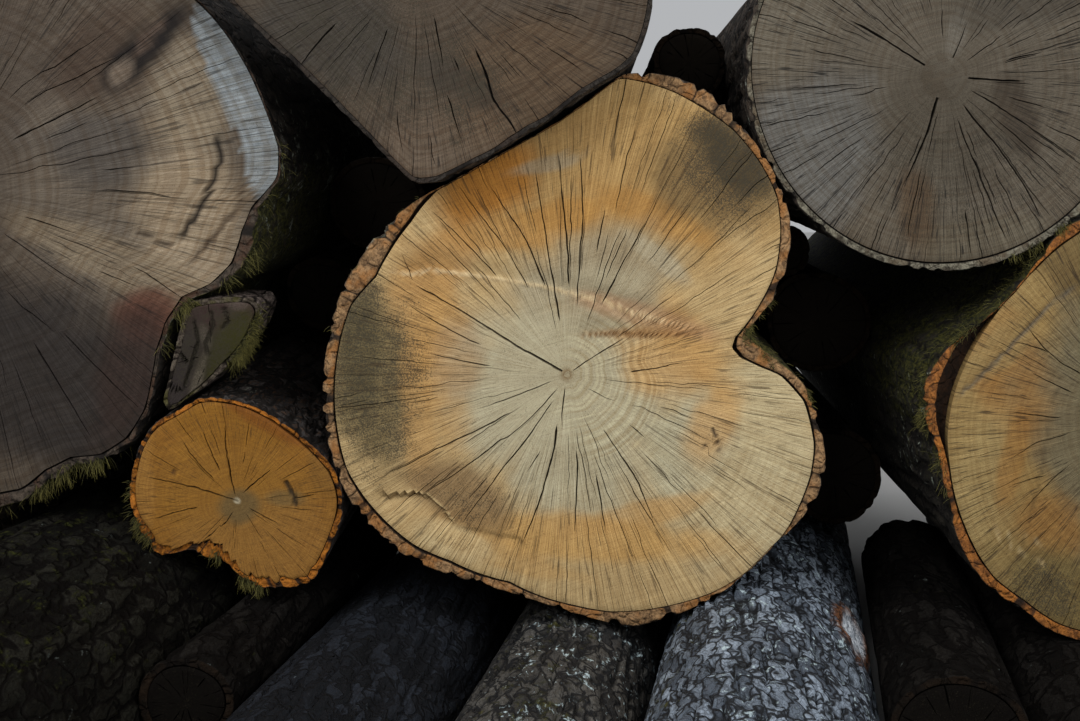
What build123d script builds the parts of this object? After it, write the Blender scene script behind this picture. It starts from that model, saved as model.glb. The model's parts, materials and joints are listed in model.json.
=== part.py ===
from build123d import *
import os
import numpy as np

# Stack of logs. +Z up, +Y runs from the sawn front ends to the back, sizes in mm.
# Origin on the floor under the middle of the whole stack.

os.makedirs("parts", exist_ok=True)

# Driving sizes of the pile
log_length = 1000.0
rest_gap = 0.3  # left where one log rests on another
wedge_lift = 1.2  # added where a log is wedged between steep sides, so the slant gap stays open
lower_reach = 300.0  # the bottom course stands this far out to the front
lower_run = 145.0  # and its back ends lie this far to the right
end_left_gap = 19.0  # left free between the two logs at the left end
valley_gap = 101.0  # left free for the thin log between low_right_log and corner_log
end_right_gap = 36.0  # left free between the two logs at the right end

# Radii of the logs that are sawn nearly round, and of the thin ones in the gaps
round_radius = 157.0
end_left_radius = 137.0
far_left_radius = 117.0
low_right_radius = 87.0
end_right_radius = 84.0
low_left_radius = 76.0
low_mid_radius = 72.0
corner_radius = 65.0
gap_radius = 50.0

# Outlines of the sawn ends, seen from the front: right of and above the pith
heart_outline = [
    (46, 241), (85, 239), (120, 222), (147, 191), (170, 154), (180, 112), (170, 66),
    (152, 44), (142, 31), (154, 22), (189, -7), (203, -41), (208, -75), (199, -103), (158, -146),
    (134, -169), (106, -186), (74, -198), (42, -202), (-38, -178), (-114, -155), (-146, -135),
    (-174, -104), (-190, -65), (-197, -25), (-194, 19), (-186, 55), (-173, 83), (-150, 115),
    (-126, 136), (-94, 154), (-58, 174), (-35, 187), (-6, 203), (20, 222), (34, 233),
]
small_outline = [
    (-46, 73), (-26, 82), (11, 75), (45, 55), (74, 28), (84, 5), (83, -15), (72, -44), (59, -66),
    (40, -71), (18, -71), (2, -62), (-12, -49), (-25, -47), (-37, -41), (-50, -43), (-63, -45),
    (-74, -33), (-85, -9), (-87, 11), (-84, 28), (-79, 44), (-68, 60),
]
left_outline = [
    (92, 236), (160, 190), (209, 146), (236, 110), (254, 74), (270, 29), (271, 8), (258, -14),
    (253, -40), (245, -62), (224, -82), (201, -90), (188, -102), (180, -118), (173, -145),
    (169, -172), (162, -192), (150, -210), (132, -222), (112, -226), (100, -226), (92, -232),
    (80, -246), (52, -258), (-28, -258), (-148, -212), (-228, -116), (-256, 0), (-228, 124),
    (-148, 212), (-28, 252),
]
top_outline = [
    (-146, -32), (-90, -86), (-45, -131), (-6, -170), (5, -174), (21, -169), (45, -157), (65, -147),
    (80, -135), (99, -126), (117, -112), (134, -99), (154, -88), (170, -74), (182, -30), (180, 30),
    (160, 88), (118, 138), (60, 168), (-10, 176), (-80, 158), (-134, 112), (-162, 56), (-166, 4),
]
right_outline = [
    (-48, 162), (-75, 144), (-96, 115), (-123, 86), (-152, 64), (-171, 43), (-180, 22),
    (-176, -5), (-167, -26), (-163, -53), (-155, -85), (-144, -111), (-131, -130), (-104, -151),
    (-75, -170), (-48, -178), (0, -180), (88, -152), (144, -96), (172, -8), (160, 72), (104, 136),
    (32, 170),
]

# Loose slab of bark, seen against the pith of the left log, and the hollow behind the bark of
# the right log
flap_outline = [
    (212, -97), (232, -95), (253, -96), (258, -104), (249, -128), (234, -149), (214, -167),
    (198, -178), (188, -186), (181, -184), (183, -170), (188, -148), (194, -124), (201, -102),
]
bark_hollow = [
    (-124, 68), (-144, 56), (-160, 38), (-167, 19), (-165, -3), (-158, -17), (-155, 0),
    (-150, 19), (-141, 40),
]
bark_hollow_depth = 110.0


def ringed(radius, squash=0.0, lobe=0.0, turn=0.0, count=40):
    # a nearly round outline, a little flattened and three-lobed
    angles = np.arange(count) * 2 * np.pi / count
    waves = radius * (1 + squash * np.cos(2 * angles + turn) + lobe * np.cos(3 * angles - turn))
    return np.column_stack([waves * np.cos(angles), waves * np.sin(angles)])


def rounded(corners, count=64):
    # smooth closed curve through the corners, cut into short straight runs of even length
    p1 = np.array(corners, float)
    p0, p2, p3 = np.roll(p1, 1, 0), np.roll(p1, -1, 0), np.roll(p1, -2, 0)
    t = np.linspace(0, 1, 12, endpoint=False)[None, :, None]
    bend2 = 2 * p0 - 5 * p1 + 4 * p2 - p3
    bend3 = 3 * p1 - p0 - 3 * p2 + p3
    curve = (p1[:, None] + 0.5 * ((p2 - p0)[:, None] * t + bend2[:, None] * t ** 2
                                  + bend3[:, None] * t ** 3)).reshape(-1, 2)
    curve = np.vstack([curve, curve[:1]])
    run = np.concatenate([[0], np.cumsum(np.linalg.norm(np.diff(curve, axis=0), axis=1))])
    marks = np.linspace(0, run[-1], count, endpoint=False)
    return np.column_stack([np.interp(marks, run, curve[:, 0]), np.interp(marks, run, curve[:, 1])])


class Log:
    # one log: cross sections stand upright across the pile at four places along it
    stations = (0.0, 0.34, 0.68, 1.0)

    def __init__(self, outline, x, face=0.0, run=0.0, rise=0.0, taper=0.05, bow=(0.0, 0.0),
                 length=log_length):
        self.outline = np.array(outline, float)
        self.x = x
        self.z = 0.0  # found when the log is laid on the others
        self.face = face
        self.run = run  # back end lies this much to the right of the front end
        self.rise = rise  # and this much above it
        self.taper = taper
        self.bow = bow
        self.length = length

    def section_points(self, part):
        # outline at a share of the length: the log thins towards the back and bends a little
        points = self.outline * (1 - self.taper * part)
        bend = 4 * part * (1 - part)
        shift = np.array([self.run * part + self.bow[0] * bend, self.rise * part + self.bow[1] * bend])
        return points + shift + np.array([self.x, self.z])

    def solid(self):
        wires = []
        for part in self.stations:
            y = self.face + self.length * part
            wires.append(Wire.make_polygon([(x, y, z) for x, z in self.section_points(part)]))
        return Solid.make_loft(wires, ruled=True)

    def slices(self):
        # outline points at every cut of the pile that crosses the log; between stations the loft
        # runs straight, so a share of the way between two station outlines is exact
        rows = np.array([self.section_points(part) for part in self.stations])
        crossed = (cuts >= self.face) & (cuts <= self.face + self.length)
        spot = np.interp((cuts[crossed] - self.face) / self.length, self.stations, range(len(rows)))
        first = np.minimum(spot.astype(int), len(rows) - 2)
        share = (spot - first)[:, None, None]
        return np.flatnonzero(crossed), rows[first] * (1 - share) + rows[first + 1] * share


# The pile is cut every 20 mm along it, and each cut is looked at on a 1 mm ruler
cuts = np.arange(-lower_reach, log_length + 1, 20.0)
ruler = np.arange(-900, 901)


def skyline(log, side, across=0):
    # highest (side 1) or lowest (side -1) reach of the log over every mark of the ruler,
    # for every cut; across=1 lays the ruler upright and gives the reach to right or left
    rows, points = log.slices()
    start = points[:, :, across]
    height = points[:, :, 1 - across]
    step = np.roll(start, -1, 1) - start
    step = np.where(np.abs(step) < 1e-9, 1e-9, step)
    rise = np.roll(height, -1, 1) - height
    lower = np.ceil(np.minimum(start, start + step)).astype(int)
    upper = np.maximum(start, start + step)
    reach = np.full((cuts.size, ruler.size), -np.inf)
    for offset in range(int(np.abs(step).max()) + 2):
        mark = lower + offset
        value = side * (height + rise * (mark - start) / step)
        value = np.where(mark <= upper, value, -np.inf)
        np.maximum.at(reach, (np.broadcast_to(rows[:, None], mark.shape), mark - ruler[0]), value)
    return side * reach


placed = {}
ground = np.full((cuts.size, ruler.size), -rest_gap)  # top of everything already placed


def place(name, log, slack=0, lift=0.0):
    # let the log down; with slack it also rolls sideways to the lowest seat within reach
    underside = skyline(log, -1)
    best = min(range(-slack, slack + 1), key=lambda step: sink(log, underside, step))
    log.z = sink(log, underside, best) + lift
    log.x += best
    np.maximum(ground, skyline(log, 1), out=ground)
    placed[name] = log


def sink(log, underside, step):
    # height of the pith once the log, moved sideways by a step, has come down to rest
    return log.z - (np.roll(underside, step, axis=1) - ground).min() + rest_gap


def lay(name, log, beside=None, way=0):
    # a log on the floor lies flat: its back end sinks by what the taper took off;
    # it can be rolled against a neighbour, way 1 to the right and -1 to the left
    log.z -= log.section_points(0)[:, 1].min()
    log.rise += log.section_points(0)[:, 1].min() - log.section_points(1)[:, 1].min()
    if beside:
        facing = skyline(placed[beside], -way, across=1)
        gap = (way * (facing - skyline(log, way, across=1))).min()
        log.x += way * (gap - rest_gap)
    place(name, log)


# Bottom course, on the floor, standing out to the front
lying = {"face": -lower_reach, "run": lower_run}
far_left_x = -427
end_left_x = far_left_x - far_left_radius - end_left_gap - end_left_radius
lay("end_left_log", Log(ringed(end_left_radius, 0.03, 0.02, 1.0), end_left_x, **lying))
lay("far_left_log", Log(ringed(far_left_radius, 0.03, 0.02, 0.4), far_left_x, **lying))
low_mid_x = -22
low_right_x = low_mid_x + low_mid_radius + low_right_radius
corner_x = low_right_x + low_right_radius + valley_gap + corner_radius
end_right_x = corner_x + corner_radius + end_right_gap + end_right_radius
lay("low_mid_log", Log(ringed(low_mid_radius, 0.02, 0.02, 2.1), low_mid_x, **lying))
lay("low_left_log", Log(ringed(low_left_radius, 0.03, 0.03, 0.9), -195, **lying), "low_mid_log", 1)
lay("low_right_log", Log(ringed(low_right_radius, 0.02, 0.03, 0.2), low_right_x, **lying),
    "low_mid_log", -1)
lay("corner_log", Log(ringed(corner_radius, 0.03, 0.02, 1.6), corner_x, **lying))
lay("end_right_log", Log(ringed(end_right_radius, 0.02, 0.02, 0.7), end_right_x, **lying))

# Thin logs wedged into the valleys of the bottom course
valley = {"face": -120, "run": 62, "length": 420}
place("low_gap_left_log", Log(ringed(0.66 * gap_radius, 0.03, 0.02, 0.5), -247, **valley),
      slack=4, lift=wedge_lift)
low_gap_right_x = corner_x - corner_radius - 22
place("low_gap_right_log", Log(ringed(1.02 * gap_radius, 0.02, 0.03, 1.3), low_gap_right_x, **valley),
      lift=wedge_lift)

# Sawn logs of the middle, then those resting on them, with thin logs set back in the gaps
left_x = -484
right_x = corner_x + 90
set_back = {"face": 220, "length": 740}
place("small_log", Log(rounded(small_outline), -243, rise=42, bow=(4, 3)))
place("gap_low_log", Log(ringed(0.94 * gap_radius, 0.03, 0.02, 1.7), 274, **set_back))
place("heart_log", Log(rounded(heart_outline), 22.4, bow=(8, 0), taper=0.06), slack=3)
place("left_bark", Log(rounded(flap_outline, 32), left_x, taper=0, length=60))
place("gap_left_log", Log(ringed(0.7 * gap_radius, 0.04, 0.03, 1.2), -222, **set_back))
place("gap_high_log", Log(ringed(0.92 * gap_radius, 0.03, 0.02, 0.6), -164, **set_back), slack=4)
place("right_log", Log(rounded(right_outline), right_x, bow=(-6, 2)), slack=8)
place("gap_mid_log", Log(ringed(gap_radius, 0.03, 0.02, 0.3), 260, **set_back), slack=5)
place("gap_right_log", Log(ringed(0.48 * gap_radius, 0.03, 0.02, 2.6), 226, **set_back), slack=3)
place("left_log", Log(rounded(left_outline), left_x, bow=(6, 0)), slack=4)
place("round_log", Log(ringed(round_radius, 0.012, 0.012, 0.8, 56), 322, bow=(5, 4)), slack=6)
place("top_log", Log(rounded(top_outline), -93, face=-40, rise=-18))
place("gap_top_log", Log(ringed(0.72 * gap_radius, 0.03, 0.03, 2.0), 126, **set_back), slack=12)

for name, log in placed.items():
    print(name, round(log.x, 1), round(log.z, 1))

solids = {name: log.solid() for name, log in placed.items()}


def pocket(log, mouth, depth, narrowing):
    # hollow opening on the sawn face and narrowing inwards
    mouth = rounded(mouth, 24)
    centre = np.mean(mouth, axis=0)
    floor = centre + (mouth - centre) * narrowing
    rings = []
    for y, points in ((-1.0, mouth), (depth, floor)):
        ring = [(log.x + x, log.face + y, log.z + z) for x, z in points]
        rings.append(Wire.make_polygon(ring))
    return Solid.make_loft(rings, ruled=True)


# The bark of the right log stands away from the wood beside its branch bulge
hollow = pocket(placed["right_log"], bark_hollow, bark_hollow_depth, 0.4)
solids["right_log"] = solids["right_log"].cut(hollow)

bounds = Compound(list(solids.values())).bounding_box()
shift = Location((-bounds.center().X, -bounds.center().Y, -bounds.min.Z))
for name, solid in solids.items():
    export_step(solid.moved(shift), f"parts/{name}.step")
print("size", bounds.size, "origin was at", bounds.center().X, bounds.center().Y, bounds.min.Z)
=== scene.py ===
import bpy
import json
import math
import numpy as np
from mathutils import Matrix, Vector

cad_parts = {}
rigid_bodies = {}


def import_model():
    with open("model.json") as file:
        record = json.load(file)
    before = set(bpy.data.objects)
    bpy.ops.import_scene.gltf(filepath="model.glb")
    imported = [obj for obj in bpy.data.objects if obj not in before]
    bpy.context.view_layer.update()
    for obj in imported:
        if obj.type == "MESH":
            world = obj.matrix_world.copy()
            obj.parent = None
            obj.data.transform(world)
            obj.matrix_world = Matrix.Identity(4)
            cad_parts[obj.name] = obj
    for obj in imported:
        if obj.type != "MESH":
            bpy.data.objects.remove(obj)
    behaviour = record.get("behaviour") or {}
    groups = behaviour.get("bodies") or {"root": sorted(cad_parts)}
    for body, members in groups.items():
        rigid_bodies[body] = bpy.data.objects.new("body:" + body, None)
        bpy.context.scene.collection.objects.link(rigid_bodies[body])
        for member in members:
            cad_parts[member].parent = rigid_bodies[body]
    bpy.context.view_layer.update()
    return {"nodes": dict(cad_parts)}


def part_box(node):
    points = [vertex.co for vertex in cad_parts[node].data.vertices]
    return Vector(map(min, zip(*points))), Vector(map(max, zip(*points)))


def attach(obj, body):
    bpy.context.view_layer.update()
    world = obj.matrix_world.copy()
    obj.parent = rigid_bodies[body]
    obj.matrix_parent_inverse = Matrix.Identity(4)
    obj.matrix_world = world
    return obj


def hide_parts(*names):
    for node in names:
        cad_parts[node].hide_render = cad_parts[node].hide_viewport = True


# A pile of logs, in metres. +Y runs from the sawn front ends to the back, +Z is up.
# Every log is made again over its plain solid: sawn ends with drying checks, bark with
# furrows, moss strands. Each log's dictionary holds what a user would change.

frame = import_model()
mm = 0.001
turn = 2 * math.pi


# Noise and small helpers on whole numpy arrays

def lattice(x, y, z, seed=0):
    # random numbers on a whole-number lattice, eased between its eight corners, from -1 to 1
    x, y, z = np.broadcast_arrays(x, y, z)
    cell = [np.floor(v).astype(np.int64) for v in (x, y, z)]
    part = [v - c for v, c in zip((x, y, z), cell)]
    eased = [p * p * (3 - 2 * p) for p in part]
    total = np.zeros(x.shape)
    for corner in range(8):
        step = (corner & 1, corner >> 1 & 1, corner >> 2 & 1)
        # the corner's three numbers and the seed, stirred into 16 bits
        key = ((cell[0] + step[0]) * 374761393 + (cell[1] + step[1]) * 668265263
               + (cell[2] + step[2]) * 1274126177 + seed * 974634777)
        key = (key ^ (key >> 13)) * 1103515245
        key = (key ^ (key >> 16)) & 0xffff
        weight = 1.0
        for e, s in zip(eased, step):
            weight = weight * (e if s else 1 - e)
        total += weight * (key / 32767.5 - 1)
    return total


def cloudy(x, y, z, octaves=3, seed=0):
    # lattice noise summed over octaves, each twice as fine and half as strong
    total = 0.0
    for i in range(octaves):
        total = total + lattice(x * 2 ** i, y * 2 ** i, z * 2 ** i, seed + i * 7) / 2 ** i
    return total / 1.6


def ease(low, high, value):
    # 0 below low, 1 above high, smooth between
    t = np.clip((value - low) / (high - low), 0, 1)
    return t * t * (3 - 2 * t)


def table(pairs, angle):
    # values given at angles in degrees, joined by straight runs round the circle
    pairs = sorted(((a % 360, v) for a, v in pairs))
    return np.interp(np.degrees(angle) % 360, [a for a, v in pairs], [v for a, v in pairs],
                     period=360)


def turnedFrom(angle, degrees):
    # signed turn of an angle from a direction given in degrees, -pi to pi
    return (angle - math.radians(degrees) + math.pi) % turn - math.pi


def blot(x, z, centre, size, tilt=0, soft=0.3, rough=0.25, seed=0):
    # soft-edged ellipse in mm about the pith, its edge broken by noise
    c, s = math.cos(math.radians(tilt)), math.sin(math.radians(tilt))
    u = ((x - centre[0]) * c + (z - centre[1]) * s) / size[0]
    v = ((z - centre[1]) * c - (x - centre[0]) * s) / size[1]
    edge = np.sqrt(u * u + v * v) + rough * cloudy(x / 28, z / 28, 0, 3, seed)
    return 1 - ease(1 - soft, 1 + soft, edge)


def beside(x, z, line):
    # signed distance in mm to a polyline, positive to the left of its run, and the share along it
    best = np.full(x.shape, 1e9)
    side = np.ones(x.shape)
    along = np.zeros(x.shape)
    runs = np.linalg.norm(np.diff(line, axis=0), axis=1)
    done = 0.0
    for (ax, az), (bx, bz), run in zip(line[:-1], line[1:], runs):
        dx, dz = (bx - ax) / run, (bz - az) / run
        t = np.clip((x - ax) * dx + (z - az) * dz, 0, run)
        away = np.hypot(x - ax - t * dx, z - az - t * dz)
        near = away < best
        best = np.where(near, away, best)
        side = np.where(near, np.sign(dx * (z - az) - dz * (x - ax)), side)
        along = np.where(near, (done + t) / runs.sum(), along)
        done += run
    return best * side, along


# Shape of a log, read from its plain solid

def readLog(plain, pith=(0.5, 0.5)):
    # full cross sections of the solid; pith gives the heart's place as a share of their box
    corners = np.array([v.co[:] for v in frame["nodes"][plain].data.vertices])
    levels, group = np.unique(np.round(corners[:, 1], 4), return_inverse=True)
    boxes = [(corners[group == i].min(0), corners[group == i].max(0)) for i in range(len(levels))]
    widths = np.array([high[0] - low[0] for low, high in boxes])
    kept = np.flatnonzero(widths > 0.6 * widths.max())
    low = np.array([boxes[i][0] for i in kept])
    high = np.array([boxes[i][1] for i in kept])
    heart = low + (high - low) * np.array([pith[0], 0, pith[1]])
    ring = corners[group == kept[1]] - heart[1]
    angle = np.arctan2(ring[:, 2], ring[:, 0]) % turn
    order = np.argsort(angle)
    scale = widths[kept] / widths[kept[0]]
    radius = np.hypot(ring[:, 0], ring[:, 2])[order] / scale[1]
    return {"plain": plain, "y": levels[kept], "x": heart[:, 0], "z": heart[:, 2],
            "scale": scale, "angle": angle[order], "radius": radius}


def reach(log, angle):
    # radius of the front outline at an angle about the pith
    return np.interp(angle % turn, log["angle"], log["radius"], period=turn)


def around(log, y, angle, radius, depth=0.0):
    # point = pith at y + depth, plus scale there * radius * (cos angle, sin angle)
    y = np.asarray(y) + depth
    scale = np.interp(y, log["y"], log["scale"])
    x = np.interp(y, log["y"], log["x"]) + radius * scale * np.cos(angle)
    z = np.interp(y, log["y"], log["z"]) + radius * scale * np.sin(angle)
    return np.stack(np.broadcast_arrays(x, y, z), axis=-1)


# Meshes from grids

def gridFaces(rows, columns):
    # quads between neighbours on a grid of points, its last column joined to the first
    index = np.arange(rows * columns).reshape(rows, columns)
    right = np.roll(index, -1, axis=1)
    return np.stack([index[:-1], right[:-1], right[1:], index[1:]], axis=-1).reshape(-1, 4)


def splitQuads(quads):
    # two triangles from each quad
    return np.concatenate([quads[:, [0, 1, 2]], quads[:, [0, 2, 3]]])


def addPiece(name, points, faces, material, plain, values, crease=None):
    # mesh object from points and triangles, with per-point values by name; edges bent by more
    # than the crease angle in degrees stay sharp
    mesh = bpy.data.meshes.new(name)
    count, corners = faces.shape
    mesh.vertices.add(len(points))
    mesh.vertices.foreach_set("co", np.ascontiguousarray(points, np.float32).ravel())
    mesh.loops.add(count * corners)
    mesh.loops.foreach_set("vertex_index", np.ascontiguousarray(faces, np.int32).ravel())
    mesh.polygons.add(count)
    starts = np.arange(0, count * corners, corners, dtype=np.int32)
    mesh.polygons.foreach_set("loop_start", starts)
    mesh.update(calc_edges=True)
    mesh.validate()
    for key, value in values.items():
        value = np.asarray(value, np.float32)
        if value.ndim == 1:
            mesh.attributes.new(key, "FLOAT", "POINT").data.foreach_set("value", value)
        elif key == "tone":
            full = np.column_stack([value, np.ones(len(value))]).astype(np.float32).ravel()
            mesh.attributes.new(key, "FLOAT_COLOR", "POINT").data.foreach_set("color", full)
        else:
            rows = mesh.attributes.new(key, "FLOAT_VECTOR", "POINT").data
            rows.foreach_set("vector", value.ravel())
    mesh.shade_smooth()
    if crease:
        mesh.set_sharp_from_angle(angle=math.radians(crease))
    mesh.materials.append(material)
    piece = bpy.data.objects.new(name, mesh)
    bpy.context.scene.collection.objects.link(piece)
    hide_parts(plain)
    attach(piece, "root")


# Node tree helpers

def newMaterial(name):
    # an empty node material and its tree
    material = bpy.data.materials.new(name)
    material.use_nodes = True
    material.node_tree.nodes.clear()
    return material, material.node_tree


def node(tree, kind, inputs=None, **settings):
    # adds a node; inputs by name or number are linked when they are sockets, else set
    made = tree.nodes.new(kind)
    for key, value in settings.items():
        setattr(made, key, value)
    for key, value in (inputs or {}).items():
        socket = made.inputs[key]
        if isinstance(value, bpy.types.NodeSocket):
            tree.links.new(value, socket)
        else:
            socket.default_value = value
    return made


def calc(tree, operation, a, b=0.0):
    # one Math node on two values
    return node(tree, "ShaderNodeMath", {0: a, 1: b}, operation=operation).outputs[0]


def times(tree, a, b):
    # a times b
    return calc(tree, "MULTIPLY", a, b)


def blend(tree, factor, a, b, mode="MIX"):
    # from colour a to colour b by the factor, or a times b in mode MULTIPLY
    mix = {0: factor, 6: a, 7: b}
    return node(tree, "ShaderNodeMix", mix, data_type="RGBA", blend_type=mode).outputs[2]


def scaled(tree, vector, factors):
    # a vector times three factors, to stretch a pattern
    return node(tree, "ShaderNodeVectorMath", {0: vector, 1: factors},
                operation="MULTIPLY").outputs[0]


def noise(tree, vector, scale, detail=3.0, rough=0.55, warp=0.0):
    # noise of 0 to 1 at a vector times the scale
    return node(tree, "ShaderNodeTexNoise",
                {"Vector": vector, "Scale": scale, "Detail": detail, "Roughness": rough,
                 "Distortion": warp}).outputs["Fac"]


def spread(tree, value, low, high, toLow=0.0, toHigh=1.0):
    # stretches a range of values to another, eased at both ends
    return node(tree, "ShaderNodeMapRange",
                {"Value": value, "From Min": low, "From Max": high, "To Min": toLow,
                 "To Max": toHigh}, interpolation_type="SMOOTHSTEP").outputs[0]


def shaded(tree, base, layers):
    # multiplies a colour by each layer's own, as much as its value's spread says
    for value, low, high, toLow, toHigh, colour in layers:
        share = spread(tree, value, low, high, toLow, toHigh)
        base = blend(tree, share, base, colour, "MULTIPLY")
    return base


def read(tree, name, kind="Fac"):
    # a value that comes with the mesh
    return node(tree, "ShaderNodeAttribute", attribute_name=name).outputs[kind]


def tint(red, green, blue):
    # screen colour, 0 to 255, as a linear colour
    share = np.array([red, green, blue]) / 255
    linear = np.where(share <= 0.04045, share / 12.92, ((share + 0.055) / 1.055) ** 2.4)
    return (*linear.tolist(), 1.0)


def finishMaterial(tree, base, rough, bumps, specular):
    # bumps: list of (height socket, strength, distance in metres), laid one over the other
    normal = None
    for height, strength, distance in bumps:
        inputs = {"Height": height, "Strength": strength, "Distance": distance}
        if normal is not None:
            inputs["Normal"] = normal
        normal = node(tree, "ShaderNodeBump", inputs).outputs[0]
    shader = node(tree, "ShaderNodeBsdfPrincipled", {
        "Base Color": base, "Roughness": rough, "Specular IOR Level": specular, "Normal": normal})
    node(tree, "ShaderNodeOutputMaterial", {0: shader.outputs[0]})


# Sawn wood: colour zones come with the mesh, fine grain is added here

def hairLines(tree, ray):
    # hair-thin checks along the fibres, painted dark as the shade in them, on two scales: noise
    # near its middle value, broken by more noise, and fading towards the pith
    level = node(tree, "ShaderNodeSeparateXYZ", {0: ray}).outputs[2]
    hair = 0.0
    for count, wave, thick in ((48, 1.4, 0.032), (92, 2.2, 0.045)):
        line = noise(tree, scaled(tree, ray, (count, count, wave)), 1.0, 0, 0.5, 0.25)
        line = calc(tree, "ABSOLUTE", calc(tree, "SUBTRACT", line, 0.5))
        broken = noise(tree, scaled(tree, ray, (count * 0.8, count * 0.8, 6)), 1.0, 1, 0.6)
        line = times(tree, spread(tree, line, thick, thick * 0.25),
                     spread(tree, broken, 0.47, 0.56))
        hair = calc(tree, "MAXIMUM", hair, line)
    return times(tree, hair, spread(tree, level, 0.15, 0.5, 0.15, 1.0))


def growthRings(tree, ray, count):
    # noise along one line only: the mesh's distance from the pith, drifting a little
    drift = noise(tree, scaled(tree, ray, (2, 2, 2)), 1.0, 1)
    phase = calc(tree, "ADD", times(tree, read(tree, "ringAt"), count), times(tree, drift, 1.6))
    return node(tree, "ShaderNodeTexNoise", {"W": phase, "Scale": 1.0, "Detail": 1.5},
                noise_dimensions="1D").outputs["Fac"]


def mouldSpecks(tree, place):
    # black specks, thicker where the mesh says so
    specks = noise(tree, place, 900, 2, 0.8)
    film = noise(tree, place, 60, 2, 0.7)
    hold = calc(tree, "ADD", specks, times(tree, read(tree, "mould"), 0.24))
    hold = calc(tree, "ADD", hold, times(tree, calc(tree, "SUBTRACT", film, 0.5), 0.3))
    return spread(tree, hold, 0.60, 0.80, 0, 0.8)


def woodMaterial(name, look):
    # the mesh's tone times fibres, rings, saw marks and pores, then mould and the checks' painted
    # shade over it
    material, tree = newMaterial(name)
    place = node(tree, "ShaderNodeTexCoord").outputs["Object"]
    ray = read(tree, "ray", "Vector")
    ringed = read(tree, "ringed")
    fibres = noise(tree, scaled(tree, ray, (150, 150, 2.5)), 1.0, 2, 0.65)
    threads = noise(tree, scaled(tree, ray, (420, 420, 8.0)), 1.0, 1, 0.6)
    sawn = node(tree, "ShaderNodeMapping", {"Vector": place, "Rotation": (0, look["sawTilt"], 0)})
    saw = noise(tree, scaled(tree, sawn.outputs[0], (9, 0, 640)), 1.0, 2, 0.65, 0.2)
    base = shaded(tree, read(tree, "tone", "Color"), (
        (noise(tree, place, 30, 3, 0.6), 0.3, 0.7, 0.0, 0.55, look["cloud"]),
        (fibres, 0.3, 0.7, 0.8, 0.0, look["darkFibre"]),
        (fibres, 0.52, 0.75, 0.0, 0.5, look["paleFibre"]),
        (threads, 0.5, 0.72, 0.0, 0.5, (0.62, 0.54, 0.46, 1)),
    ))
    ring = growthRings(tree, ray, look["ringCount"])
    for low, high, colour in ((0.50, 0.60, (1.3, 1.32, 1.3, 1)), (0.48, 0.38, look["ringColour"])):
        share = times(tree, spread(tree, ring, low, high), ringed)
        base = blend(tree, times(tree, share, look["ring"]), base, colour, "MULTIPLY")
    base = shaded(tree, base, (
        (saw, 0.52, 0.7, 0, look["saw"], (1.3, 1.28, 1.25, 1)),
        (saw, 0.48, 0.3, 0, look["saw"], (0.7, 0.66, 0.62, 1)),
        (noise(tree, place, 1300, 1, 0.75), 0.52, 0.75, 0, 0.6, (0.5, 0.44, 0.38, 1)),
    ))
    base = blend(tree, mouldSpecks(tree, place), base, look["mouldColour"])
    # painted shade: the hair lines and the checks are coloured dark, as the shade inside them
    base = blend(tree, times(tree, hairLines(tree, ray), look["hair"]), base, look["checkShadeColour"])
    base = blend(tree, read(tree, "crack"), base, look["checkShadeColour"])
    bumps = [(saw, 0.4, 0.0006), (threads, 0.35, 0.0005), (fibres, 0.4, 0.0009)]
    finishMaterial(tree, base, 0.8, bumps, look["shine"])
    return material


# Bark: plates and furrows come with the mesh, scales, lichen, moss and the sawn rim are here

def barkCells(tree, place, along, count):
    # cells on coordinates bent by noise: cracks between large and small ones, and their shades
    wobble = node(tree, "ShaderNodeTexNoise", {"Vector": place, "Scale": 70.0, "Detail": 1.0})
    wobble = node(tree, "ShaderNodeVectorMath", {0: wobble.outputs["Color"], 1: (0.5, 0.5, 0.5)},
                  operation="SUBTRACT")
    wobble = scaled(tree, wobble.outputs[0], (0.016, 0.016, 0.016))
    bent = node(tree, "ShaderNodeVectorMath", {0: along, 1: wobble}, operation="ADD").outputs[0]
    large, small = [
        node(tree, "ShaderNodeTexVoronoi", {"Vector": bent, "Scale": scale},
             feature="DISTANCE_TO_EDGE").outputs[0] for scale in (count, count * 2.7)]
    shade = node(tree, "ShaderNodeTexVoronoi", {"Vector": bent, "Scale": count}).outputs["Color"]
    shade = node(tree, "ShaderNodeSeparateXYZ", {0: shade}).outputs[0]
    crevice = calc(tree, "MAXIMUM", spread(tree, large, 0.13, 0.02, 0, 0.95),
                   spread(tree, small, 0.12, 0.0, 0, 0.6))
    return large, crevice, shade


def lichenCrust(tree, place, fine, size):
    # pale crusts, in patches where the mesh says so and in small dots
    crust = noise(tree, place, size, 3, 0.75, 0.8)
    crust = calc(tree, "ADD", crust, times(tree, read(tree, "lichen"), 0.22))
    crust = calc(tree, "ADD", crust, times(tree, calc(tree, "SUBTRACT", fine, 0.5), 0.5))
    return spread(tree, crust, 0.70, 0.80, 0, 0.85)


def mossFelt(tree, place):
    # green film and cushions of moss
    felt = noise(tree, place, 60, 3, 0.75)
    felt = calc(tree, "ADD", felt, times(tree, read(tree, "moss"), 0.30))
    return spread(tree, felt, 0.66, 0.86, 0, 0.9)


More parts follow.
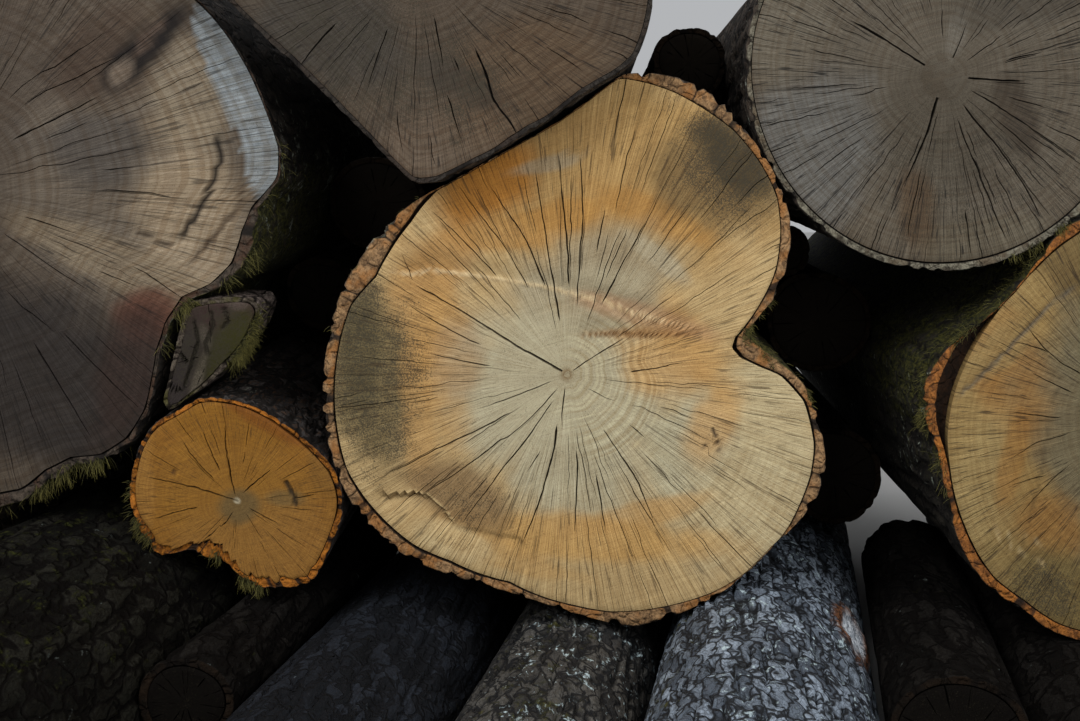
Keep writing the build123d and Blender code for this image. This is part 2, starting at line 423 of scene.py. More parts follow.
def sawnRim(tree, place, coarse, plate, look):
    # layered cork with bright inner bark
    layers = noise(tree, scaled(tree, place, (1, 0.2, 1)), 210, 3, 0.7, 0.5)
    crumbs = noise(tree, place, 700, 2, 0.75)
    rim = blend(tree, spread(tree, layers, 0.32, 0.68), look["rimDark"], look["rim"])
    rim = blend(tree, spread(tree, coarse, 0.45, 0.62, 0, 0.7), rim, look["rimWarm"])
    rim = shaded(tree, rim, ((crumbs, 0.5, 0.7, 0, 0.7, (0.4, 0.36, 0.33, 1)),
                             (crumbs, 0.45, 0.3, 0, 0.5, (1.5, 1.45, 1.4, 1))))
    return blend(tree, spread(tree, plate, 0.4, 0.0, 0, 0.95), rim, look["furrow"])


def barkMaterial(name, look):
    # dark and pale scales, then lichen, cracks, furrows and moss over them; the rim where it is cut
    material, tree = newMaterial(name)
    place = node(tree, "ShaderNodeTexCoord").outputs["Object"]
    plate = read(tree, "plate")
    along = scaled(tree, place, (1, look["scaleStretch"], 1))
    coarse = noise(tree, along, 42, 3, 0.65)
    fine = noise(tree, along, 330, 2, 0.7)
    grain = noise(tree, place, 1500, 1, 0.75)
    cells, crevice, cellShade = barkCells(tree, place, along, look["scaleCount"])
    mixed = calc(tree, "ADD", times(tree, coarse, 0.6), times(tree, cellShade, 0.4))
    base = blend(tree, spread(tree, mixed, 0.25, 0.75), look["dark"], look["pale"])
    base = blend(tree, spread(tree, fine, 0.45, 0.72, 0, 0.6), base, look["warm"])
    base = shaded(tree, base, ((grain, 0.5, 0.72, 0, 0.55, (0.45, 0.42, 0.4, 1)),
                               (fine, 0.5, 0.3, 0, 0.5, (1.5, 1.5, 1.5, 1))))
    base = blend(tree, lichenCrust(tree, place, fine, look["lichenSize"]), base,
                 blend(tree, grain, look["lichen"], look["lichenPale"]))
    base = blend(tree, crevice, base, look["furrow"])
    base = blend(tree, spread(tree, plate, 0.6, 0.0, 0, 0.9), base, look["furrow"])
    patchy = spread(tree, fine, 0.35, 0.65)
    base = blend(tree, mossFelt(tree, place), base,
                 blend(tree, patchy, look["mossDark"], look["moss"]))
    base = blend(tree, read(tree, "cut"), base, sawnRim(tree, place, coarse, plate, look))
    # healed stub of a branch: bleached wood inside a torn brown lip
    bleached = blend(tree, patchy, tint(140, 148, 158), tint(224, 230, 236))
    lip = blend(tree, patchy, tint(36, 22, 17), tint(112, 70, 42))
    base = blend(tree, read(tree, "scarRim"), base, lip)
    base = blend(tree, read(tree, "scar"), base, bleached)
    edges = spread(tree, cells, 0.02, 0.13)
    finishMaterial(tree, base, 0.88, [(edges, 0.7, 0.003), (fine, 0.7, 0.002)], look["shine"])
    return material


def mossMaterial():
    # every strand has its own shade of green, and is pale towards its tip
    material, tree = newMaterial("mossStrands")
    shade = read(tree, "shade")
    low = blend(tree, shade, (0.010, 0.011, 0.004, 1), (0.034, 0.034, 0.009, 1))
    high = blend(tree, shade, (0.05, 0.046, 0.012, 1), (0.19, 0.165, 0.042, 1))
    base = blend(tree, read(tree, "tip"), low, high)
    finishMaterial(tree, base, 0.75, [(shade, 0.1, 0.0005)], 0.2)
    return material


# Drying checks: every check runs along a track of the round grid, so its edges stay sharp

def namedTracks(look, levels, rim):
    # a track for each check given as points: its angle on every level, bent a little by noise,
    # and its width, which slims outward, swells unevenly and closes at both ends
    tracks = []
    for width, line in look.get("checks", ()):
        x, z = np.array(line, float).T * mm
        away, angle = np.hypot(x, z), np.unwrap(np.arctan2(z, x))
        fromPith = away[0] < 2 * mm
        if fromPith:
            angle[0] = angle[1]
        share = away / np.interp(angle % turn, rim[0], rim[1], period=turn)
        bend = cloudy(levels * 22, x[-1] * 99, z[-1] * 99, 2) * 0.7 * mm
        angles = np.interp(levels, share, angle) + bend / (levels * rim[1].mean())
        fade = np.minimum(ease(share[0] - 0.01, share[0] + 0.03, levels) + fromPith,
                          1 - ease(share[-1] - 0.08, share[-1], levels))
        slim = 1 - 0.65 * np.clip((levels - share[0]) / (share[-1] - share[0]), 0, 1)
        uneven = 1 + 0.35 * cloudy(levels * 30, x[-1] * 77, 0.0, 2, 3)
        tracks.append((angles, np.clip(fade, 0, 1) * slim * uneven * width * mm))
    return tracks


def seededTracks(look, levels, taken, rng):
    # fine checks at even turns, clear of the named ones; each is a chain of openings whose
    # width is the root of a half wave
    tracks = []
    count = look["fineChecks"]
    clear = 0.022  # radians
    for i in range(count):
        start = (i + rng.uniform(-0.3, 0.3)) * turn / count
        if len(taken) and np.abs((taken - start + math.pi) % turn - math.pi).min() < clear:
            continue
        wander = cloudy(levels * 16, i * 3.7, 0.5, 2, look["seed"]) * 0.010 / levels
        angles = start + rng.uniform(-0.06, 0.06) * levels + wander
        width = np.zeros(levels.size)
        at = rng.uniform(0.15, 0.65)
        while at < 0.95:
            end = at + rng.uniform(0.12, 0.5)
            wave = np.sin(math.pi * np.clip((levels - at) / (end - at), 0, 1))
            opening = np.clip(wave, 0, 1) ** 0.5 * rng.uniform(0.3, 1.0) ** 2
            width = np.maximum(width, opening * look["fineWidth"] * mm)
            at = end + rng.uniform(0.02, 0.14)
        tracks.append((angles, width))
    return tracks


def trackChecks(look, levels, rim, rng):
    # angle and width of every track on every level, in order round the pith
    tracks = namedTracks(look, levels, rim)
    taken = np.array([np.median(a[w > 0]) % turn for a, w in tracks])
    tracks += seededTracks(look, levels, taken, rng)
    middle = np.array([np.median(a[w > 0] if (w > 0).any() else a) % turn for a, w in tracks])
    order = np.argsort(middle)
    angle = np.array([tracks[i][0] for i in order])
    angle += (middle[order] - angle.mean(1) + math.pi)[:, None] // turn * turn
    width = np.array([tracks[i][1] for i in order])
    # keep the tracks in order and give each check its room, spreading to both sides alike
    away = levels * rim[1].mean()
    half = np.minimum((width / 2 + np.where(width > 0, 0.15, 0.02) * mm) / away, 0.3)
    need = (half + np.roll(half, 1, axis=0)) * 1.25
    need *= np.minimum(1, 0.8 * turn / need.sum(0))
    index = np.cumsum(need, axis=0)
    after = np.maximum.accumulate(angle - index, axis=0) + index
    before = np.minimum.accumulate((angle - index)[::-1], axis=0)[::-1] + index
    angle = (after + before) / 2
    return angle.T, width.T


def columnAngles(track, width, reachOut, spacing):
    # angles of all columns on every level: four across each track, the rest spread between
    # tracks; with 1 for the two columns inside a check, and its width there
    ahead = (np.roll(track, -1, axis=1) - track) % turn
    limit = 0.45 * np.minimum(ahead, np.roll(ahead, 1, axis=1))
    half = np.minimum((width / 2 + np.where(width > 0, 0.12, 0.02) * mm) / reachOut, limit)
    nextHalf = np.roll(half, -1, axis=1)
    angles, deep, wide = [], [], []
    none = np.zeros(len(track))
    for i in range(track.shape[1]):
        for k in (-1.0, -0.3, 0.3, 1.0):
            angles.append(track[:, i] + k * half[:, i])
            deep.append(none + (abs(k) < 1))
            wide.append(width[:, i])
        gap = ahead[:, i]
        between = int(round(gap.mean() / spacing(track[:, i].mean()))) - 1
        for j in range(between):
            share = (j + 1) / (between + 1)
            angles.append(track[:, i] + half[:, i] + share * (gap - half[:, i] - nextHalf[:, i]))
            deep.append(none)
            wide.append(none)
    return np.array(angles).T, np.array(deep).T, np.array(wide).T


# Sawn ends

def woodEdge(log, look, angle):
    # radius of the sawn wood inside its bark: a traced edge, or the outline less the bark
    if "woodEdge" in look:
        x, z = np.array(look["woodEdge"], float).T * mm
        at = np.arctan2(z, x) % turn
        order = np.argsort(at)
        traced = np.interp(angle % turn, at[order], np.hypot(x, z)[order], period=turn)
        edge = np.minimum(traced, reach(log, angle) - 1.5 * mm)
    else:
        bare = table(look["bark"], angle) + table(look["gap"], angle)
        edge = reach(log, angle) - bare * mm
    torn = cloudy(np.cos(angle) * 16, np.sin(angle) * 16, 2.0, 3, look["seed"]) + 0.5
    return edge - table(look.get("ragged", ((0, 0),)), angle) * mm * np.clip(torn, 0, 1.5)


def paintWood(look, x, z, level, back):
    # base colour with soft zones laid over it in order; the back end keeps only the base
    tone = np.ones(x.shape + (3,)) * look["wood"][:3]
    tone += (np.array(look["rimWood"][:3]) - tone) * ease(0.55, 1.0, level)[..., None] * 0.6
    mould = np.zeros(x.shape)
    ringed = np.full(x.shape, look["ringsAll"])
    if back:
        return tone, mould + 0.4 * cloudy(x / 40, z / 40, 1.0, 3, look["seed"]), ringed
    for i, (paint, centre, size, tilt, strength) in enumerate(look["zones"]):
        share = blot(x, z, centre, size, tilt, 0.35, 0.3, look["seed"] + i)
        tone += (np.array(paint[:3]) - tone) * (strength * share)[..., None]
    for centre, size, tilt, strength in look.get("mould", ()):
        mould += strength * blot(x, z, centre, size, tilt, 0.5, 0.5, look["seed"] + 50)
    for centre, size, tilt, strength in look.get("rings", ()):
        ringed += strength * blot(x, z, centre, size, tilt, 0.4, 0.1, look["seed"] + 90)
    return tone, mould, np.clip(ringed, 0, 1)


def addBevel(look, angle, radius, edge, x, z, depth, tone):
    # hewn facet: it falls away evenly from where it starts to the edge, streaked and
    # weathered; this and the next two change the arrays depth and tone in place
    start = table(look["bevelFrom"], angle) * mm
    share = np.clip((radius - start) / np.maximum(edge - start, 1 * mm), 0, 1)
    fall = table(look["bevel"], angle)
    depth += fall * mm * share
    streak = cloudy((x + z) / 3, (x - z * 0.5) / 26, 1.0, 3, 5)[..., None]
    bare = ((share > 0) * (fall > 1))[..., None]
    tone += (np.array(look["bevelTone"][:3]) * (1 + 0.35 * streak) - tone) * bare


def addSteps(look, x, z, depth, tone):
    # ledges of the saw: deep beside the line, fading over a width, with painted shade darkening the
    # wood along the line
    for line, height, fades in look.get("steps", ()):
        away, along = beside(x, z, np.array(line, float))
        ends = ease(0, 0.08, along) * (1 - ease(0.92, 1, along))
        ledge = ease(-0.8, 0.8, away) * (1 - ease(0, fades, away))
        depth += height * mm * ledge * ends
        # painted shade along the foot of the ledge
        tone *= (1 - 0.35 * np.exp(-(away / 1.1) ** 2) * ends)[..., None]


def addMarks(look, x, z, depth, tone):
    # dents and stains along a line, their width waved by noise
    for line, thick, deepness, paint, strength in look.get("marks", ()):
        away, along = beside(x, z, np.array(line, float))
        ends = ease(0, 0.1, along) * (1 - ease(0.85, 1, along))
        wavy = 1 + 0.5 * cloudy(x / (3 + thick), z / (3 + thick), thick, 2, 9)
        near = ends * (1 - ease(0.35 * thick, 0.6 * thick + 0.5, np.abs(away) / wavy))
        depth += deepness * mm * near
        tone += (np.array(paint[:3]) - tone) * (strength * near)[..., None]


def sawnRelief(look, angle, radius, edge, level, crack, wide, back):
    # depth below the cut, which is the sum of checks, waves of the saw and a slightly worn rim,
    # on the front also of what its look adds; and the colours of the wood
    x, z = radius * np.cos(angle) / mm, radius * np.sin(angle) / mm
    depth = crack * (1.2 * wide + 2.2 * mm)
    depth += 0.35 * mm * (cloudy(x / 14, z / 14, 3.0, 3, look["seed"]) + 1)
    depth += 0.9 * mm * ease(0.985, 1.0, level)
    tone, mould, ringed = paintWood(look, x, z, level, back)
    if not back:
        if "bevel" in look:
            addBevel(look, angle, radius, edge, x, z, depth, tone)
        addSteps(look, x, z, depth, tone)
        addMarks(look, x, z, depth, tone)
    return depth, tone, mould, ringed


def sawnEnd(log, look, material, back=False):
    # a disc: point = pith + level * edge * (cos, sin) of its column's angle, sunk by the relief
    # of checks and saw, with a side wall going back and a fan over the pith
    rng = np.random.default_rng(look["seed"] + back)
    rows = max(6, look["rows"] // 5) if back else look["rows"]
    levels = (np.arange(rows) + 1) / rows
    probe = np.linspace(0, turn, 720, endpoint=False)
    rim = (probe, woodEdge(log, look, probe))
    meanRim = rim[1].mean()
    detail = {**look, "checks": (), "fineChecks": look["fineChecks"] // 2} if back else look
    spacing = (lambda angle: 0.09) if back else look["spacing"]
    track, width = trackChecks(detail, levels, rim, rng)
    angle, deep, wide = columnAngles(track, width, levels[:, None] * meanRim, spacing)
    edge = np.interp(angle % turn, rim[0], rim[1], period=turn)
    level = np.broadcast_to(levels[:, None], angle.shape)
    radius = level * edge
    # rings are round at the pith and take the outline's shape towards the rim
    outward = ease(0.1, 1.0, level)
    ringAt = radius / ((1 - outward) * meanRim + outward * edge)
    crack = deep * ease(0.05 * mm, 0.35 * mm, wide)
    depth, tone, mould, ringed = sawnRelief(look, angle, radius, edge, level, crack, wide, back)
    start, way = (log["y"][-1], -1) if back else (log["y"][0], 1)
    # the side wall: mm back from the rim, and mm added to the radius there
    wall = ((0.8, -0.5), (3, -0.7), (14, -0.8))
    pieces = [around(log, start, 0.0, 0.0, way * 1.0 * mm)[None]]
    pieces.append(around(log, start, angle, radius, way * depth).reshape(-1, 3))
    for inward, shrink in wall:
        pieces.append(around(log, start, angle[-1], radius[-1] + shrink * mm,
                             way * (depth[-1] + inward * mm)))
    columns = angle.shape[1]
    first = np.arange(columns) + 1
    fan = np.stack([np.zeros(columns, int), np.roll(first, -1), first], axis=-1)
    faces = np.concatenate([fan, splitQuads(gridFaces(rows + len(wall), columns)) + 1])
    if not back:
        faces = faces[:, ::-1]

    def grown(value, middle):
        # adds the centre point and the wall rows to a per-grid value
        flat = value.reshape(rows * columns, -1)
        tail = np.tile(value[-1].reshape(columns, -1), (len(wall), 1))
        return np.concatenate([np.reshape(middle, (1, -1)), flat, tail]).squeeze()

    ray = np.stack([np.cos(angle), np.sin(angle), level], axis=-1)
    values = {"tone": grown(tone, tone[0, 0]), "ray": grown(ray, (0, 0, 0)),
              "crack": grown(crack, 0.6), "mould": grown(mould, mould[0, 0]),
              "ringAt": grown(ringAt, 0.0), "ringed": grown(ringed, ringed[0, 0])}
    name = log["plain"] + ("_back" if back else "_face")
    addPiece(name, np.concatenate(pieces), faces, material, log["plain"], values, 32)


# Bark: a closed jacket from the front gap, over the sawn rim, along the log, to the back rim

def jacketPath(length, barkRows, gap):
    # rows across the jacket: distance from the front, extra radius, and the share of the way
    # from inner to outer radius; the first row closes the gap to the wood
    short = min(1.0, length / 0.4)
    near = np.array([0.0, 1, 2.5, 4.5, 7, 10, 14, 19, 25, 32, 40, 50, 62, 76]) * mm * short
    middle = np.linspace(0.092 * short, length - 0.04 * short, barkRows)
    along = np.concatenate([near, middle, length - np.array([25, 12, 5, 2, 0]) * mm * short])
    path = [(13 * mm, -1 * mm, 0.0), (13 * mm, 0, 0.0), (6 * mm, 0, 0.0), (1.6 * mm, 0, 0.0)]
    path += [(0.6 * mm, 0, share) for share in (0.08, 0.22, 0.4, 0.58, 0.76, 0.9)]
    path += [(y + 1.2 * mm, 0, 1.0) for y in along[:-1]]
    path += [(length - 0.8 * mm, 0, share) for share in (1.0, 0.75, 0.5, 0.25, 0.0)]
    path += [(length - 6 * mm, 0, 0.0), (length - 14 * mm, -1 * mm, 0.0)]
    depth, extra, share = np.array(path).T[..., None]
    return depth, extra - np.where(np.arange(len(path))[:, None] == 0, gap, 0), share


def barkRelief(look, x, y, z):
    # plate: 0 in a furrow, where folded noise is near zero, to 1 on a plate; and how far the
    # furrows, chipped scales and lumps lie under the outline
    size, stretch = look["plateSize"], look["plateSize"] * look["plateStretch"]
    bend = 0.5 * cloudy(x / 60, y / 90, z / 60, 2, look["seed"] + 5)
    ridge = np.abs(cloudy(x / size + bend, y / stretch, z / size, 3, look["seed"]))
    plate = ease(0.02, look["furrowWidth"], ridge)
    chips = ease(0.25, 0.55, cloudy(x / 9, y / 25, z / 9, 2, look["seed"] + 3))
    lump = cloudy(x / 55, y / 160, z / 55, 2, look["seed"] + 8) * 0.5 - 0.5
    deep = look["furrowDepth"] * mm
    sink = deep * (1 - plate) + 0.25 * look["furrowDepth"] * mm * chips
    return plate, sink - look["lump"] * mm * lump


def cover(patches, angle, shape):
    # moss or lichen round the log: full near each patch's middle, none beyond its spread
    total = np.zeros(shape)
    for at, spreadDeg, strength in patches:
        off = np.abs(turnedFrom(angle, at))
        total += strength * (1 - ease(0.3, 1.0, off / math.radians(spreadDeg)))
    return total


def tornRim(look, x, z, depth, share, split, length):
    # how far the crumbly sawn rim is pushed back along the log
    torn = cloudy(x / 7, z / 7, share * 2 + 5, 3, look["seed"] + 11)
    rimZone = (share < 1) & (depth < 0.5 * length)
    push = np.where(rimZone, look["torn"] * mm * (torn + 0.6 * cloudy(x / 30, z / 30, 0, 2, 4)), 0)
    push = np.maximum(push + look["torn"] * mm * 0.6, 0) * (depth < 3 * mm)
    return push + split * 3 * mm * (depth < 2 * mm)


def branchScars(look, angle, outer, x, y, z, depth, radius):
    # healed stubs of branches: a lip 3 mm high round a hollow 5 mm deep, its edge broken by
    # noise; gives the radius with them, and where the hollow and the lip are
    scar, scarRim = np.zeros((2,) + radius.shape)
    for at, place, wide, long in look.get("scars", ()):
        across = turnedFrom(angle, at) * outer / (wide * mm)
        away = np.hypot(across, (depth - place * mm) / (long * mm))
        away = away + 0.3 * cloudy(x / 14, y / 30, z / 14, 3, 3)
        scar = np.maximum(scar, 1 - ease(0.7, 0.95, away))
        scarRim = np.maximum(scarRim, (1 - ease(1.1, 1.4, away)) * ease(0.6, 0.9, away))
        radius = radius + 3 * mm * (1 - ease(0.8, 1.5, away)) - 5 * mm * scar
    return radius, scar, scarRim


def barkJacket(log, look, material):
    # point = pith + (inner + share * (thickness - sink)) * (cos, sin), at depth + push
    columns = look["barkColumns"]
    angle = np.arange(columns) * turn / columns
    outer = reach(log, angle)
    gap = table(look["gap"], angle) * mm
    inner = np.minimum(woodEdge(log, look, angle) + gap, outer - 1.0 * mm)
    thick = (outer - inner)[None]
    length = log["y"][-1] - log["y"][0]
    split = np.zeros(columns)
    for at, wide in look.get("splits", ()):
        off = np.abs(turnedFrom(angle, at)) * outer
        split = np.maximum(split, np.exp(-(off / (wide * mm)) ** 2))
    depth, extra, share = jacketPath(length, look["barkRows"], gap)
    front = depth < 0.5 * length
    base = around(log, log["y"][0], angle, outer * np.ones_like(depth), depth)
    x, y, z = (base[..., i] / mm for i in range(3))
    plate, sink = barkRelief(look, x, y, z)
    # the relief is shallower at the sawn rim, and splits run back from it
    shallow = look["rimSink"] + (1 - look["rimSink"]) * ease(0, 60 * mm, depth)
    sink = np.where(front, sink * shallow, sink) - 0.6 * mm
    sink = np.minimum(sink + 0.5 * split * thick * np.exp(-depth / (30 * mm)), 0.75 * thick)
    radius = inner + extra + share * (thick - sink * ease(0.5, 1.0, share))
    push = tornRim(look, x, z, depth, share, split, length)
    fray = 0.8 * mm * cloudy(x / 5, z / 5, 9.0, 2, look["seed"] + 12)
    fray = fray * (depth < 8 * mm) * (share > 0.5)
    if "bevel" in look:
        push = push + table(look["bevel"], angle) * mm * np.exp(-depth / (40 * mm))
    radius, scar, scarRim = branchScars(look, angle, outer, x, y, z, depth, radius)
    points = around(log, log["y"][0], angle, radius - np.abs(fray), depth + push)
    cut = ((share < 0.95) & np.ones(columns, bool)).astype(float)
    moss = cover(look.get("mossAt", ()), angle, cut.shape)
    lichen = cover(look.get("lichenAt", ()), angle, cut.shape)
    # the floor of the gap between bark and wood is painted dark, as shade
    gapFloorShade = (share == 0) & (depth > 1 * mm) & (depth < 20 * mm)
    plate = np.minimum(plate, 1 - split * np.exp(-depth / (30 * mm))) * (1 - 0.95 * gapFloorShade)
    values = {"plate": plate.ravel(), "cut": cut.ravel(), "moss": moss.ravel(),
              "lichen": lichen.ravel(), "scar": scar.ravel(), "scarRim": scarRim.ravel()}
    faces = splitQuads(gridFaces(len(depth), columns))[:, ::-1]
    addPiece(log["plain"] + "_bark", points.reshape(-1, 3), faces, material, log["plain"],
             values)
    if "strands" in look:
        mossStrands(log, look, points, moss * (share > 0.3))


# Moss: thin curved hairs on the green bark points

def mossStrands(log, look, points, moss):
    # three-sided hairs: point = root + long * (lean * t + (sag + curl) * t * t) + the thickness,
    # which tapers along t, times the corner of a small triangle
    count = look["strands"]
    rng = np.random.default_rng(look["seed"] + 7)
    flat = points.reshape(-1, 3)
    x, y, z = flat.T / mm
    patch = cloudy(x / 18, y / 20, z / 18, 2, look["seed"] + 20)
    patch = np.clip(patch + look.get("mossFill", -0.05), 0, 1)
    front = np.exp(-np.clip(flat[:, 1] - log["y"][0], 0, 1) / (look["strandReach"] * mm))
    weight = np.clip(moss.ravel() - 0.25, 0, 1) * patch * front
    chosen = rng.choice(weight.size, count, p=weight / weight.sum())
    root = flat[chosen] + rng.normal(0, 1.2 * mm, (count, 3))
    axis = np.stack([np.interp(root[:, 1], log["y"], log["x"]), root[:, 1],
                     np.interp(root[:, 1], log["y"], log["z"])], axis=1)
    outward = root - axis
    outward /= np.linalg.norm(outward, axis=1, keepdims=True)
    lean = outward + rng.normal(0, 0.55, (count, 3)) + [0, -0.35, 0]
    lean /= np.linalg.norm(lean, axis=1, keepdims=True)
    side = np.cross(lean, rng.normal(0, 1, (count, 3)))
    side /= np.linalg.norm(side, axis=1, keepdims=True)
    up = np.cross(lean, side)
    long = rng.uniform(3, look.get("strandLength", 9), count) * mm
    t = np.linspace(0, 1, 4)
    sag = np.array([0, 0, -0.45])
    curl = side * rng.uniform(-0.4, 0.4, (count, 1))
    line = root[:, None] + long[:, None, None] * (
        lean[:, None] * t[:, None] + (sag + curl)[:, None] * t[:, None] ** 2)
    thick = (0.34 * mm * (1 - 0.85 * t))[None, :, None, None]
    corner = np.arange(3)[:, None] * turn / 3
    ring = side[:, None, None] * np.cos(corner) + up[:, None, None] * np.sin(corner)
    hairs = line[:, :, None] + thick * ring
    quads = gridFaces(len(t), 3)
    faces = (quads[None] + (np.arange(count) * len(t) * 3)[:, None, None]).reshape(-1, 4)
    shade = np.repeat(rng.uniform(0, 1, count), len(t) * 3)
    tip = np.tile(np.repeat(t, 3), count)
    addPiece(log["plain"] + "_moss", hairs.reshape(-1, 3), splitQuads(faces)[:, ::-1], mossLook,
             log["plain"], {"shade": shade, "tip": tip})


# What a user would change, one dictionary per kind of log and one per sawn log

# Places are mm from the pith, to the right and up; angles are degrees, 0 right and 90 up.
# zones: colour, centre, half size, tilt, strength; mould and rings the same without colour
# checks: width, points. steps: points, height, fade. marks: points, width, depth, colour,
# strength. bark, gap, ragged, bevelFrom, bevel: mm at an angle. splits: angle, width.
# scars: angle, place, half width, half length. mossAt, lichenAt: angle, spread, strength

plainWood = {
    "wood": tint(118, 100, 80), "rimWood": tint(108, 90, 70), "ringsAll": 0.35, "zones": (),
    "rows": 14, "fineChecks": 34, "fineWidth": 1.2, "spacing": lambda angle: 0.07,
    "bark": ((0, 6),), "gap": ((0, 0.5),), "seed": 1,
    "rings": (), "ringCount": 40, "sawTilt": 0.3, "saw": 0.35, "ring": 0.6, "hair": 0.5,
    "cloud": (0.82, 0.78, 0.74, 1), "darkFibre": (0.72, 0.66, 0.58, 1),
    "paleFibre": (1.22, 1.2, 1.18, 1),
    # the checks' colour is painted shade inside them
    "ringColour": (0.74, 0.62, 0.48, 1), "checkShadeColour": tint(34, 24, 15),
    "mouldColour": tint(48, 44, 34),
}

plainBark = {
    "barkColumns": 130, "barkRows": 20, "plateSize": 24.0, "plateStretch": 3.0, "furrowWidth": 0.16,
    "furrowDepth": 4.0, "lump": 1.5, "torn": 0.8, "rimSink": 0.4, "shine": 0.2,
    "dark": tint(42, 36, 32), "pale": tint(88, 78, 68), "warm": tint(74, 58, 44),
    "furrow": tint(18, 14, 11), "lichen": tint(120, 128, 116), "lichenPale": tint(176, 184, 170),
    "scaleCount": 62.0, "scaleStretch": 0.45, "lichenSize": 48.0, "moss": tint(66, 64, 24),
    "mossDark": tint(22, 25, 10),
    "rim": tint(128, 96, 62), "rimDark": tint(66, 46, 30), "rimWarm": tint(110, 72, 38),
}

